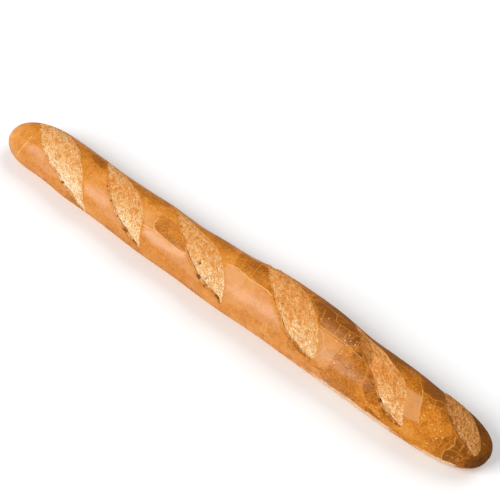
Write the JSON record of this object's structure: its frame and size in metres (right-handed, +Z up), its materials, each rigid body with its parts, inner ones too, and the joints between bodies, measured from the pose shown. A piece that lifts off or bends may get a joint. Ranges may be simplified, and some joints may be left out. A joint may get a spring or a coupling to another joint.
{
  "type": "baguette",
  "caption": "Long slim loaf of white bread with a crackled golden crust, slanting cuts across its top and a flat base.",
  "frame": {"origin": "middle of the loaf, on the surface that it rests on", "axes": "+X along the loaf towards the end that is baked darkest, +Y across it towards the far side, +Z up"},
  "size_m": [0.5984, 0.0672, 0.0515],
  "materials": {
    "crust": "baked bread crust: golden brown and softly shining where it stayed whole, dark brown at one end, and paler, dull and granular where it tore open along the cuts"
  },
  "bodies": {
    "root": {"loaf": "crust"}
  },
  "joints": []
}
